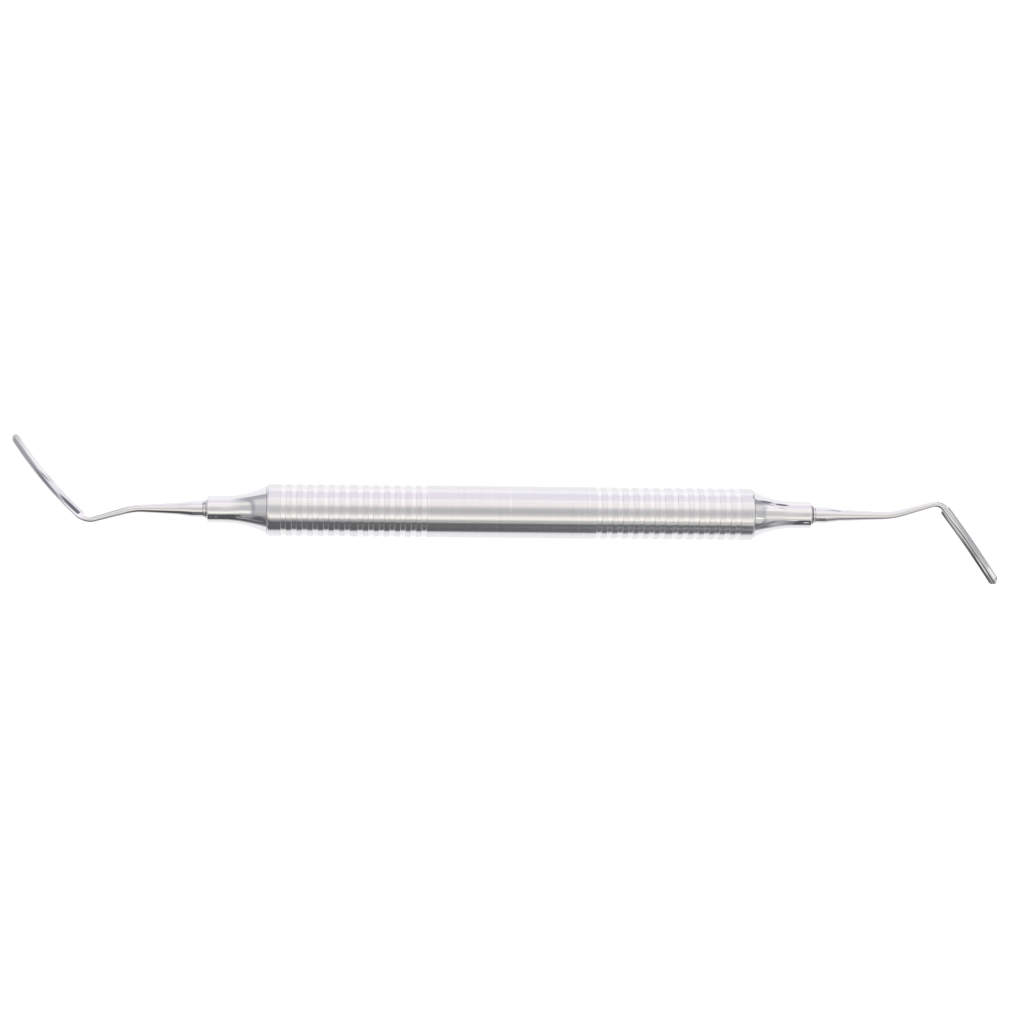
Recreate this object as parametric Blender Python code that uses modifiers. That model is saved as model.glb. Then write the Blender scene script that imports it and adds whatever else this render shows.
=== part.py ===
"""Periodontal tunneling instrument: a hollow, ringed handle with a polished ferrule and a bent spatula blade
at each end.

The handle lies along X on the surface z = 0, with its middle above the origin. The bends of both shanks lie
level, and both blades curve down from their heels until their tips stand about a millimetre above that surface.
"""

import math

import bpy
from mathutils import Matrix, Vector

MM = 0.001
COLLECTION = "periodontal_tunneling_instrument"

# Facets round the turned pieces. The lowest facet of the handle is what the instrument lies on.
HANDLE_FACETS = 32

# Handle tube
HANDLE_LENGTH = 88.75 * MM
HANDLE_DIAMETER = 9.5 * MM
HANDLE_BORE = 7.5 * MM
HANDLE_EASE_HEIGHT = 0.22 * MM
HANDLE_EASE_LENGTH = 0.7 * MM
EASE_STEPS = 3

# Grip rings: two groups of square grooves at each end of the tube, with a plain band between the two grips
GROOVE_WIDTH = 0.9 * MM
GROOVE_DEPTH = 0.17 * MM
GROOVE_PITCH = 1.93 * MM
GROOVES_IN_GROUP = 7
GROUPS_IN_GRIP = 2
GROUP_LAND = 1.44 * MM
GRIP_END_LAND = 2.5 * MM

# Ferrules: a hollow-sided cone that runs out of the tube's end and into a round collar
FERRULE_SHOULDER_DIAMETER = 8.8 * MM
COLLAR_DIAMETER = 4.9 * MM
COLLAR_LENGTH = 3.07 * MM
COLLAR_CHAMFER = 0.22 * MM
FLARE_RADIUS = 16.5 * MM
FLARE_STEPS = 10
SPIGOT_LENGTH = 9.0 * MM
SPIGOT_CHAMFER = 0.5 * MM

# Fits: the spigot in the tube's bore, the tang in the ferrule, and every face that seats on another
FIT_CLEARANCE = 0.1 * MM
SEAT_CLEARANCE = 0.05 * MM

# Shanks, measured from the face of the collar
TANG_DIAMETER = 2.4 * MM
TANG_LENGTH = 8.0 * MM
TANG_CHAMFER = 0.2 * MM
SHOULDER_DIAMETER = 3.35 * MM
SHOULDER_LENGTH = 0.35 * MM
SHOULDER_RUNOUT = 0.4 * MM
ROOT_DIAMETER = 2.92 * MM
ROOT_LENGTH = 2.7 * MM
NECK_DIAMETER = 2.25 * MM
NECK_RUN = 2.5 * MM
TAPER_POWER = 1.15
TAPER_STEPS = 4
WAIST_DIAMETER = 1.38 * MM
HEEL_DIAMETER = 1.08 * MM
SHANK_BEND = math.radians(15.8)
SHANK_BEND_REACH = 1.9 * MM
HEEL_BEND_REACH = 1.5 * MM
SHANK_BEND_STEPS = 6
HEEL_BEND_STEPS = 12

# Blades: hollow on the inner face, bevelled to both edges on the back, with a low spine along the middle. The
# round shank opens to the full width of the blade just past the heel's bend, more gently outside the bend.
BLADE_WIDTH = 1.95 * MM
BLADE_TIP_WIDTH = 1.86 * MM
BLADE_CURVE_RADIUS = 45.0 * MM
BLADE_THICKNESS = 0.62 * MM
BLADE_TIP_THICKNESS = 0.28 * MM
BLADE_EDGE = 0.3 * MM
BLADE_TIP_EDGE = 0.13 * MM
BLADE_BEVEL = 0.42 * MM
BLADE_HOLLOW = 0.1 * MM
BLADE_SETBACK = 0.4 * MM
BLADE_LEAD = 0.3 * MM
INNER_SHOULDER_RUN = 0.9 * MM
OUTER_SHOULDER_RUN = 1.25 * MM
BLADE_STEPS = 12
TIP_LENGTH = 1.0 * MM
TIP_FLAT = 0.32 * MM
TIP_STEPS = 6
SPINE_HALF_WIDTH = 0.26 * MM
SPINE_HEIGHT = 0.1 * MM
SPINE_FADE = 9.0 * MM
SPINE_STEPS = 2

# Where each working end bends, and how its blade stands to the shank. Headings are turned towards the outer
# side of the shank's first bend, dips are below level, and a roll of 0 turns the blade's back straight up.
LEFT_SHANK_REACH = 13.3 * MM
LEFT_HEEL_REACH = 8.8 * MM
LEFT_BLADE_LENGTH = 21.1 * MM
LEFT_BLADE_HEADING = math.radians(-40.3)
LEFT_BLADE_DIP = math.radians(17.0)
LEFT_BLADE_ROLL = math.radians(136.0)
RIGHT_SHANK_REACH = 15.1 * MM
RIGHT_HEEL_REACH = 9.29 * MM
RIGHT_BLADE_LENGTH = 19.4 * MM
RIGHT_BLADE_HEADING = math.radians(-52.5)
RIGHT_BLADE_DIP = math.radians(0.5)
RIGHT_BLADE_ROLL = math.radians(0.0)

SHARP_ANGLE = math.radians(25.0)
MERGE_DISTANCE = 0.001 * MM

# Sizes that follow from the ones above
HANDLE_RADIUS = HANDLE_DIAMETER / 2
AXIS_HEIGHT = HANDLE_RADIUS * math.cos(math.pi / HANDLE_FACETS)
GROUP_LENGTH = (GROOVES_IN_GROUP - 1) * GROOVE_PITCH + GROOVE_WIDTH
SPIGOT_RADIUS = HANDLE_BORE / 2 - FIT_CLEARANCE
SOCKET_RADIUS = TANG_DIAMETER / 2 + FIT_CLEARANCE
SOCKET_DEPTH = TANG_LENGTH + FIT_CLEARANCE
FLARE_DROP = (FERRULE_SHOULDER_DIAMETER - COLLAR_DIAMETER) / 2
FLARE_LENGTH = math.sqrt(FLARE_RADIUS**2 - (FLARE_RADIUS - FLARE_DROP) ** 2)
FERRULE_REACH = SEAT_CLEARANCE + FLARE_LENGTH + COLLAR_LENGTH


def clear_scene():
    for obj in list(bpy.data.objects):
        bpy.data.objects.remove(obj)


def new_collection(name):
    collection = bpy.data.collections.new(name)
    bpy.context.scene.collection.children.link(collection)
    return collection


def steel(name, colour, roughness):
    """A bare steel finish."""
    material = bpy.data.materials.new(name)
    material.use_nodes = True
    shader = material.node_tree.nodes["Principled BSDF"]
    shader.inputs["Base Color"].default_value = (*colour, 1.0)
    shader.inputs["Roughness"].default_value = roughness
    shader.inputs["Metallic"].default_value = 1.0
    return material


def add_object(name, mesh, material, collection, parent):
    mesh.materials.clear()
    mesh.materials.append(material)
    obj = bpy.data.objects.new(name, mesh)
    obj.parent = parent
    collection.objects.link(obj)
    return obj


def turned_mesh(name, profile, closed):
    """Turns a profile of (radius, height) points about Z. Its outer side runs from the top to the bottom."""
    outline = bpy.data.meshes.new(name)
    count = len(profile)
    edges = [(index, index + 1) for index in range(count - 1)]
    if closed:
        edges.append((count - 1, 0))
    outline.from_pydata([(radius, 0.0, height) for radius, height in profile], edges, [])
    blank = bpy.data.objects.new(name, outline)
    bpy.context.scene.collection.objects.link(blank)
    screw = blank.modifiers.new("turning", "SCREW")
    screw.axis = "Z"
    screw.angle = math.tau
    screw.steps = HANDLE_FACETS
    screw.render_steps = HANDLE_FACETS
    screw.use_merge_vertices = True
    screw.merge_threshold = MERGE_DISTANCE
    evaluated = blank.evaluated_get(bpy.context.evaluated_depsgraph_get())
    mesh = bpy.data.meshes.new_from_object(evaluated)
    mesh.name = name
    bpy.data.objects.remove(blank)
    mesh.shade_smooth()
    mesh.set_sharp_from_angle(angle=SHARP_ANGLE)
    return mesh


def groove_starts():
    """Distances from the tube's end to the outer wall of each groove in one grip."""
    starts = []
    for group in range(GROUPS_IN_GRIP):
        first = GRIP_END_LAND + group * (GROUP_LENGTH + GROUP_LAND)
        starts += [first + index * GROOVE_PITCH for index in range(GROOVES_IN_GROUP)]
    return starts


def handle_profile():
    """Half of the tube's outer side, from its end to the middle, then the same half turned over, and the bore."""
    half = []
    for step in range(EASE_STEPS + 1):
        turn = 0.5 * math.pi * step / EASE_STEPS
        radius = HANDLE_RADIUS - HANDLE_EASE_HEIGHT * (1 - math.sin(turn))
        half.append((radius, HANDLE_EASE_LENGTH * (1 - math.cos(turn))))
    floor = HANDLE_RADIUS - GROOVE_DEPTH
    for start in groove_starts():
        end = start + GROOVE_WIDTH
        half += [(HANDLE_RADIUS, start), (floor, start), (floor, end), (HANDLE_RADIUS, end)]
    top = HANDLE_LENGTH / 2
    upper = [(radius, top - distance) for radius, distance in half]
    lower = [(radius, distance - top) for radius, distance in reversed(half)]
    bore = [(HANDLE_BORE / 2, -top), (HANDLE_BORE / 2, top)]
    return upper + lower + bore


def ferrule_profile():
    """From the bottom of the tang's socket, over the collar and down the flare, to the end of the spigot.

    Height 0 is the plane of the tube's end.
    """
    face = FERRULE_REACH
    collar = COLLAR_DIAMETER / 2
    points = [
        (0.0, face - SOCKET_DEPTH),
        (SOCKET_RADIUS, face - SOCKET_DEPTH),
        (SOCKET_RADIUS, face),
        (collar - COLLAR_CHAMFER, face),
        (collar, face - COLLAR_CHAMFER),
    ]
    whole_turn = math.asin(FLARE_LENGTH / FLARE_RADIUS)
    for step in range(FLARE_STEPS + 1):
        turn = whole_turn * step / FLARE_STEPS
        radius = collar + FLARE_RADIUS * (1 - math.cos(turn))
        points.append((radius, face - COLLAR_LENGTH - FLARE_RADIUS * math.sin(turn)))
    points += [
        (SPIGOT_RADIUS, SEAT_CLEARANCE),
        (SPIGOT_RADIUS, SPIGOT_CHAMFER - SPIGOT_LENGTH),
        (SPIGOT_RADIUS - SPIGOT_CHAMFER, -SPIGOT_LENGTH),
        (0.0, -SPIGOT_LENGTH),
    ]
    return points


def mix(first, second, share):
    return first + (second - first) * share


def smooth(share):
    """Eases 0 to 1, held at both ends."""
    share = min(max(share, 0.0), 1.0)
    return share * share * (3 - 2 * share)


def blade_outline(half_width, thickness, edge, foot, crest):
    """Section of the blade as (across, back) points, from the middle of the hollow face round over the spine.

    foot is the spine's half width and crest its height above the shank's centre line.
    """
    face = -BLADE_SETBACK
    back = face + thickness
    bevel = max(half_width - BLADE_BEVEL, foot)
    side = [
        (half_width / 2, face + BLADE_HOLLOW * 0.75),
        (half_width, face),
        (half_width, face + edge),
        (bevel, back),
    ]
    for step in range(SPINE_STEPS + 1):
        turn = 0.5 * math.pi * step / (SPINE_STEPS + 1)
        side.append((foot * math.cos(turn), back + (crest - back) * math.sin(turn)))
    other = [(-across, height) for across, height in reversed(side)]
    return [(0.0, face + BLADE_HOLLOW)] + side + [(0.0, crest)] + other


OUTLINE_POINTS = len(blade_outline(1.0, 1.0, 1.0, 1.0, 1.0))


def round_outline(radius):
    turns = [math.tau * index / OUTLINE_POINTS for index in range(OUTLINE_POINTS)]
    return [(radius * math.sin(turn), -radius * math.cos(turn)) for turn in turns]


def straight_stations():
    """Distance from the collar's face and radius for the turned part of the shank, from the end of the tang."""
    tang = TANG_DIAMETER / 2
    root = ROOT_DIAMETER / 2
    shoulder = SHOULDER_DIAMETER / 2
    return [
        (-TANG_LENGTH, tang - TANG_CHAMFER),
        (TANG_CHAMFER - TANG_LENGTH, tang),
        (SEAT_CLEARANCE, tang),
        (SEAT_CLEARANCE, shoulder),
        (SHOULDER_LENGTH, shoulder),
        (SHOULDER_LENGTH + SHOULDER_RUNOUT, root),
        (ROOT_LENGTH, root),
        (ROOT_LENGTH + NECK_RUN, NECK_DIAMETER / 2),
    ]


def bend_stations(vertex, before, after, reach, steps):
    """Points and directions round one bend of the centre line, which turns from before to after at vertex.

    reach is how far from the vertex the bend starts and ends.
    """
    angle = before.angle(after)
    radius = reach / math.tan(angle / 2)
    normal = before.cross(after).normalized()
    inward = normal.cross(before)
    start = vertex - before * reach
    stations = []
    for step in range(steps + 1):
        turn = angle * step / steps
        point = start + before * (radius * math.sin(turn)) + inward * (radius * (1 - math.cos(turn)))
        stations.append((point, Matrix.Rotation(turn, 3, normal) @ before))
    return stations


def blade_section(distance, length):
    """Outline of the blade at a distance from the end of the heel's bend."""
    along = distance / length
    tip = max((distance - length + TIP_LENGTH) / TIP_LENGTH, 0.0)
    width = mix(BLADE_WIDTH, BLADE_TIP_WIDTH, along) / 2 * math.sqrt(1 - tip**2)
    thickness = mix(BLADE_THICKNESS, BLADE_TIP_THICKNESS, along)
    edge = mix(BLADE_EDGE, BLADE_TIP_EDGE, along)
    fade = smooth(distance / SPINE_FADE)
    foot = min(mix(HEEL_DIAMETER / 2, SPINE_HALF_WIDTH, fade), width * 0.5)
    crest = mix(HEEL_DIAMETER / 2, thickness - BLADE_SETBACK + SPINE_HEIGHT, fade)
    return blade_outline(width, thickness, edge, foot, crest)


def opening_outline(missing, inner_side, length):
    """Outline of the heel where the round shank opens into the blade.

    missing is the distance that is left to the blade's full width. inner_side is 1 or -1, for the side of the
    outline that lies inside the bend.
    """
    inner = max(1 - missing / INNER_SHOULDER_RUN, 0.0)
    outer = max(1 - missing / OUTER_SHOULDER_RUN, 0.0)
    outline = []
    for shank, blade in zip(round_outline(HEEL_DIAMETER / 2), blade_section(0.0, length)):
        inward = 0.5 + inner_side * blade[0] / BLADE_WIDTH
        opened = mix(outer, inner, inward)
        outline.append((mix(shank[0], blade[0], opened), mix(shank[1], blade[1], opened)))
    return outline


def blade_stations(start, direction, back, inner_side, length):
    """Points, directions, backs and outlines from the heel to the tip, on an arc that curves away from the back."""
    body = length - TIP_LENGTH
    distances = [0.0] + [mix(BLADE_LEAD, body, step / BLADE_STEPS) for step in range(BLADE_STEPS + 1)]
    last = math.acos(TIP_FLAT / BLADE_TIP_WIDTH)
    distances += [body + TIP_LENGTH * math.sin(last * (step + 1) / TIP_STEPS) for step in range(TIP_STEPS)]
    stations = []
    for distance in distances:
        turn = distance / BLADE_CURVE_RADIUS
        point = start + (direction * math.sin(turn) - back * (1 - math.cos(turn))) * BLADE_CURVE_RADIUS
        ahead = direction * math.cos(turn) - back * math.sin(turn)
        facing = back * math.cos(turn) + direction * math.sin(turn)
        if distance < BLADE_LEAD:
            outline = opening_outline(BLADE_LEAD - distance, inner_side, length)
        else:
            outline = blade_section(distance, length)
        stations.append((point, ahead, facing, outline))
    return stations


def working_end_mesh(name, shank_reach, heel_reach, blade_length, heading, dip, roll):
    """Lofts one working end. Its X runs out of the collar's face along the handle's axis, and Z is up."""
    out = Vector((1.0, 0.0, 0.0))
    up = Vector((0.0, 0.0, 1.0))
    bent = Vector((math.cos(SHANK_BEND), math.sin(SHANK_BEND), 0.0))
    level = math.cos(dip)
    blade = Vector((level * math.cos(heading), level * math.sin(heading), -math.sin(dip)))
    side = up.cross(blade).normalized()
    back = Matrix.Rotation(-roll, 3, blade) @ blade.cross(side)

    knee = out * shank_reach
    heel = knee + bent * heel_reach
    first = bend_stations(knee, out, bent, SHANK_BEND_REACH, SHANK_BEND_STEPS)
    second = bend_stations(heel, bent, blade, HEEL_BEND_REACH, HEEL_BEND_STEPS)
    blade_start = second[-1][0]
    blade_run = blade_length - HEEL_BEND_REACH
    heel_turn = bent.angle(blade)
    heel_arc = HEEL_BEND_REACH / math.tan(heel_turn / 2) * heel_turn
    inward = bent.cross(blade).cross(blade)
    inner_side = math.copysign(1.0, blade.cross(back).dot(inward))
    stations = blade_stations(blade_start, blade, back, inner_side, blade_run)

    centre_line = [(out * distance, out, round_outline(radius)) for distance, radius in straight_stations()]
    neck_end = ROOT_LENGTH + NECK_RUN
    bend_start = first[0][0].x
    taper = [neck_end + (bend_start - neck_end) * step / TAPER_STEPS for step in range(1, TAPER_STEPS)]
    for point, direction in [(out * distance, out) for distance in taper] + first:
        left = 1 - min((point.x - neck_end) / (shank_reach - neck_end), 1.0)
        radius = mix(WAIST_DIAMETER / 2, NECK_DIAMETER / 2, left**TAPER_POWER)
        centre_line.append((point, direction, round_outline(radius)))
    for point, direction in second[:-1]:
        missing = BLADE_LEAD + direction.angle(blade) / heel_turn * heel_arc
        centre_line.append((point, direction, opening_outline(missing, inner_side, blade_run)))

    # The rings follow the blade's without a twist, from the heel backwards.
    carried = back
    ahead = blade
    for point, direction, outline in reversed(centre_line):
        carried = ahead.rotation_difference(direction) @ carried
        ahead = direction
        stations.insert(0, (point, direction, carried, outline))

    vertices = []
    faces = []
    for point, direction, facing, outline in stations:
        across = direction.cross(facing)
        vertices += [point + across * a + facing * b for a, b in outline]
    for ring in range(len(stations) - 1):
        for index in range(OUTLINE_POINTS):
            here = ring * OUTLINE_POINTS + index
            beside = ring * OUTLINE_POINTS + (index + 1) % OUTLINE_POINTS
            faces.append((here, here + OUTLINE_POINTS, beside + OUTLINE_POINTS, beside))
    last = len(vertices) - OUTLINE_POINTS
    faces.append(tuple(range(OUTLINE_POINTS)))
    faces.append(tuple(reversed(range(last, len(vertices)))))
    mesh = bpy.data.meshes.new(name)
    mesh.from_pydata(vertices, [], faces)
    mesh.shade_smooth()
    mesh.set_sharp_from_angle(angle=SHARP_ANGLE)
    return mesh


def main():
    clear_scene()
    collection = new_collection(COLLECTION)
    satin = steel("satin_steel", (0.72, 0.72, 0.73), 0.32)
    polished = steel("polished_steel", (0.80, 0.80, 0.81), 0.08)
    ground = steel("ground_steel", (0.76, 0.76, 0.78), 0.15)

    frame = bpy.data.objects.new("handle_axis", None)
    frame.location = (0.0, 0.0, AXIS_HEIGHT)
    collection.objects.link(frame)

    # Turned pieces are built about Z, so they are laid along X with a facet underneath.
    facet_down = Matrix.Rotation(math.pi / HANDLE_FACETS, 4, "Z")
    lay_right = Matrix.Rotation(math.pi / 2, 4, "Y") @ facet_down
    lay_left = Matrix.Rotation(-math.pi / 2, 4, "Y") @ facet_down

    tube = turned_mesh("handle_tube", handle_profile(), closed=True)
    tube_object = add_object("handle_tube", tube, satin, collection, frame)
    tube_object.matrix_local = lay_right

    ferrule = turned_mesh("ferrule", ferrule_profile(), closed=False)
    tube_end = Vector((HANDLE_LENGTH / 2, 0.0, 0.0))
    right_ferrule = add_object("right_ferrule", ferrule, polished, collection, frame)
    right_ferrule.matrix_local = Matrix.Translation(tube_end) @ lay_right
    left_ferrule = add_object("left_ferrule", ferrule, polished, collection, frame)
    left_ferrule.matrix_local = Matrix.Translation(-tube_end) @ lay_left

    collar_face = Vector((HANDLE_LENGTH / 2 + FERRULE_REACH, 0.0, 0.0))
    right_end = working_end_mesh(
        "right_working_end",
        RIGHT_SHANK_REACH,
        RIGHT_HEEL_REACH,
        RIGHT_BLADE_LENGTH,
        RIGHT_BLADE_HEADING,
        RIGHT_BLADE_DIP,
        RIGHT_BLADE_ROLL,
    )
    right_object = add_object("right_working_end", right_end, ground, collection, frame)
    right_object.location = collar_face

    left_end = working_end_mesh(
        "left_working_end",
        LEFT_SHANK_REACH,
        LEFT_HEEL_REACH,
        LEFT_BLADE_LENGTH,
        LEFT_BLADE_HEADING,
        LEFT_BLADE_DIP,
        LEFT_BLADE_ROLL,
    )
    left_object = add_object("left_working_end", left_end, ground, collection, frame)
    left_object.location = -collar_face
    left_object.rotation_euler = (0.0, 0.0, math.pi)


main()
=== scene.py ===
"""The looks of the periodontal tunneling instrument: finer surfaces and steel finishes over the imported
model, in a white photographer's tent that is open towards the front.

Lengths are in millimetres and turned into metres where a mesh, a place or a shader needs them. The handle
lies along X.
"""

import math
from functools import partial

import bpy
from mathutils import Matrix, Vector


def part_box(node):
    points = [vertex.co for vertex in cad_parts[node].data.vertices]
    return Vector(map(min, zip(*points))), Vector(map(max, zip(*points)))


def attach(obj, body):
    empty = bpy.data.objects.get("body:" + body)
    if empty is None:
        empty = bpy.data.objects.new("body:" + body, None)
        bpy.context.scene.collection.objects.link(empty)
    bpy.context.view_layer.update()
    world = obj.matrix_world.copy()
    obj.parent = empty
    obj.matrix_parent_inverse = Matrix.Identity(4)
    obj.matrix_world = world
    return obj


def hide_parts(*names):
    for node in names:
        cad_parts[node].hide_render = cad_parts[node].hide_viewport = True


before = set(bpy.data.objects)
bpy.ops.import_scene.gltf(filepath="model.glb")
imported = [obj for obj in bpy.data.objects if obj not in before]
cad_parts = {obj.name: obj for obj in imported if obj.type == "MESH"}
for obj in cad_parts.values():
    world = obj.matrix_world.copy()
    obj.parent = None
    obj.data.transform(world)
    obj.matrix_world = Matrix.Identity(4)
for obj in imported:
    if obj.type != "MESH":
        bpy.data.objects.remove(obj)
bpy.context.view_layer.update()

MM = 0.001

# Steps round and along the fine surfaces
TURNED_STEPS = 128
CORNER_STEPS = 4
FLARE_STEPS = 40
BLADE_STEPS = 80
TIP_STEPS = 16
SHANK_BEND_STEPS = 18
HEEL_BEND_STEPS = 36
SHARP_ANGLE = math.radians(40.0)
ROUNDING_SHARE = 0.4
SHORTEST_EDGE = 0.002

# Handle tube. The solids' lowest facet is flat, so their height is less than the round tube's.
CAD_FACETS = 32
HANDLE_BORE = 7.5
HANDLE_EASE_HEIGHT = 0.18
HANDLE_EASE_LENGTH = 0.42
EASE_STEPS = 6
GROOVE_WIDTH = 0.9
GROOVE_DEPTH = 0.17
GROOVE_PITCH = 1.93
GROOVES_IN_GROUP = 7
GROUPS_IN_GRIP = 2
GROUP_LAND = 1.44
GRIP_END_LAND = 2.5
GROOVE_FILLET = 0.035
FILLET_SUPPORT = 0.02

# Ferrules. The draw makes the collar slimmer at its end, and the drop eases it into the rounding there.
SEAT_CLEARANCE = 0.05
FIT_CLEARANCE = 0.1
FERRULE_SHOULDER_DIAMETER = 8.8
COLLAR_DIAMETER = 4.9
COLLAR_LENGTH = 3.07
COLLAR_ROUNDING = 0.25
COLLAR_DRAW = 0.02
COLLAR_SWEEP_START = 0.35
COLLAR_DROP = 0.0035
COLLAR_DROP_END = 0.12
COLLAR_STEPS = 50
COLLAR_LEAN = math.radians(1.0)
FLARE_RADIUS = 16.5
SPIGOT_LENGTH = 9.0
SPIGOT_CHAMFER = 0.5

# Shanks
TANG_DIAMETER = 2.4
TANG_LENGTH = 8.0
TANG_CHAMFER = 0.2
SHOULDER_DIAMETER = 3.35
SHOULDER_LENGTH = 0.35
SHOULDER_RUNOUT = 0.4
ROOT_DIAMETER = 2.92
ROOT_LENGTH = 2.7
ROOT_SUPPORT = 0.08
NECK_DIAMETER = 2.25
NECK_RUN = 2.5
TAPER_POWER = 1.15
TAPER_STEPS = 16
WAIST_DIAMETER = 1.38
HEEL_DIAMETER = 1.08
SHANK_BEND = math.radians(15.8)
SHANK_BEND_REACH = 1.9
HEEL_BEND_REACH = 1.5

# Blades. The setback is from the centre line to the hollow face, and the lead is the last stretch over which
# a blade opens after its heel bend. A crown is the slope of the back beside the spine.
BLADE_WIDTH = 1.95
BLADE_TIP_WIDTH = 1.86
BLADE_CURVE_RADIUS = 45.0
BLADE_THICKNESS = 0.62
BLADE_TIP_THICKNESS = 0.28
BLADE_EDGE = 0.3
BLADE_TIP_EDGE = 0.13
BLADE_BEVEL = 0.42
BLADE_HOLLOW = 0.1
BLADE_SETBACK = 0.4
BLADE_LEAD = 0.3
INNER_SHOULDER_RUN = 0.9
OUTER_SHOULDER_RUN = 1.9
HOLLOW_STEPS = 6
RIM_ROUNDING = 0.16
EDGE_ROUNDING = 0.1
BACK_ROUNDING = 0.06
HEEL_CROWN = 0.36
TIP_CROWN = 0.22
CREST_LIFT = 0.6
TIP_LENGTH = 1.0
TIP_FLAT = 0.12
SPINE_HALF_WIDTH = 0.26
SPINE_HEIGHT = 0.14
SPINE_SHARPNESS = 1.6
SPINE_SUPPORT = 0.08
SPINE_FADE = 9.0
SPINE_STEPS = 6

# Each working end: where it bends from the collar's face on, and how its blade stands
LEFT_END = {
    "shank_reach": 13.3,
    "heel_reach": 8.8,
    "blade_length": 21.1,
    "heading": math.radians(-40.3),
    "dip": math.radians(17.0),
    "roll": math.radians(136.0),
}
RIGHT_END = {
    "shank_reach": 15.1,
    "heel_reach": 9.29,
    "blade_length": 19.4,
    "heading": math.radians(-52.5),
    "dip": math.radians(0.5),
    "roll": math.radians(0.0),
}

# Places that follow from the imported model
tube_low, tube_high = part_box("handle_tube")
HANDLE_LENGTH = (tube_high.x - tube_low.x) / MM
AXIS_HEIGHT = (tube_high.z + tube_low.z) / 2 / MM
HANDLE_RADIUS = (tube_high.z - tube_low.z) / 2 / MM / math.cos(math.pi / CAD_FACETS)
COLLAR_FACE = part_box("right_ferrule")[1].x / MM
FERRULE_REACH = COLLAR_FACE - HANDLE_LENGTH / 2
GROUP_LENGTH = (GROOVES_IN_GROUP - 1) * GROOVE_PITCH + GROOVE_WIDTH
FLARE_DROP = (FERRULE_SHOULDER_DIAMETER - COLLAR_DIAMETER) / 2
FLARE_LENGTH = math.sqrt(FLARE_RADIUS**2 - (FLARE_RADIUS - FLARE_DROP) ** 2)
SOCKET_RADIUS = TANG_DIAMETER / 2 + FIT_CLEARANCE
SOCKET_DEPTH = TANG_LENGTH + FIT_CLEARANCE
SPIGOT_RADIUS = HANDLE_BORE / 2 - FIT_CLEARANCE

# Camera: straight over a point left of the middle, turned until it faces the middle
CAMERA_FOOT = -30.0
CAMERA_HEIGHT = 500.0
CAMERA_AIM = (0.2, 0.02)
CAMERA_ROLL = 9.9168e-3
PICTURE_SIZE = 1024
PIXEL_SIZE = 0.1829
SENSOR_WIDTH = 36.0
CLIP_START = 10.0

# Floor: white cloth a little below the handle
FLOOR_REACH = 4000.0
FLOOR_DROP = 0.03
FLOOR_GLOW = 0.7
CLOTH_TONE = (0.5, 0.5, 0.5, 1.0)

# Satin finish of the handle, with the lathe's light and dark lines and the brighter floors of its grooves. A
# pair is where a change starts and where it is full, and a groove's wall is in shares of its depth.
SATIN_TONE = (0.9, 0.9, 0.91, 1.0)
SATIN_ROUGHNESS = 0.1
SATIN_UNEVENNESS = 0.12
SATIN_STRETCH = 0.6
STRETCH_TURN = 0.25
LINE_SCALE = (90.0, 90.0, 3000.0)
LIGHT_LINES = (0.58, 0.74)
DARK_LINES = (0.42, 0.27)
LIGHT_LINE_TONE = (0.98, 0.98, 0.98, 1.0)
DARK_LINE_TONE = (0.82, 0.82, 0.84, 1.0)
LINE_STRENGTH = 0.3
LINE_DEPTH = 0.02
GROOVE_TONE = (1.0, 1.0, 1.0, 1.0)
GROOVE_SHARE = 0.8
GROOVE_WALL = (0.5, 0.9)

# Ground finish of the working ends
GROUND_TONE = (0.91, 0.91, 0.92, 1.0)
GROUND_ROUGHNESS = 0.03
GROUND_UNEVENNESS = 0.06
GROUND_GRAIN = 2500.0

# Polish of the ferrules
POLISHED_TONE = (0.93, 0.93, 0.94, 1.0)
POLISHED_ROUGHNESS = 0.02
POLISHED_UNEVENNESS = 0.04
POLISHED_GRAIN = 900.0

# Painted shade at the joints between the pieces, as distances from the collar's face and from the end of the
# handle
# how strong the painted shade at each side's joint is
JOINT_SHADE = {"left": 0.4, "right": 1.0}
JOINT_LENGTH = 0.36
JOINT_SHARPNESS = 0.75
JOINT_PAINTED_SHADE_TONE = (0.07, 0.07, 0.08, 1.0)
RING_PLACE = 0.72
RING_WIDTH = 0.13
RING_SHADE = 0.6
RING_PAINTED_SHADE_TONE = (0.25, 0.25, 0.27, 1.0)
# painted shade in the seam where a ferrule meets the handle
SEAM_WIDTH = 0.12
SEAM_PAINTED_SHADE_TONE = (0.35, 0.35, 0.37, 1.0)


class Wire:
    """An output socket that Python's operators turn into Math nodes."""

    def __init__(self, nodes, socket):
        self.nodes = nodes
        self.socket = socket

    def math(self, operation, *values):
        return self.nodes.node("ShaderNodeMath", {"operation": operation}, dict(enumerate(values)))

    def __add__(self, other):
        return self.math("ADD", self, other)

    __radd__ = __add__

    def __sub__(self, other):
        return self.math("SUBTRACT", self, other)

    def __rsub__(self, other):
        return self.math("SUBTRACT", other, self)

    def __mul__(self, other):
        return self.math("MULTIPLY", self, other)

    __rmul__ = __mul__

    def __truediv__(self, other):
        return self.math("DIVIDE", self, other)

    def part(self, axis):
        """One of the three numbers of a vector."""
        return self.nodes.node("ShaderNodeSeparateXYZ", {}, {"Vector": self}, output=axis)

    def step(self, start, end):
        """Rises smoothly from 0 at start to 1 at end."""
        sockets = {"Value": self, "From Min": start, "From Max": end}
        return self.nodes.node("ShaderNodeMapRange", {"interpolation_type": "SMOOTHSTEP"}, sockets)

    def size(self):
        return self.math("ABSOLUTE", self)


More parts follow.
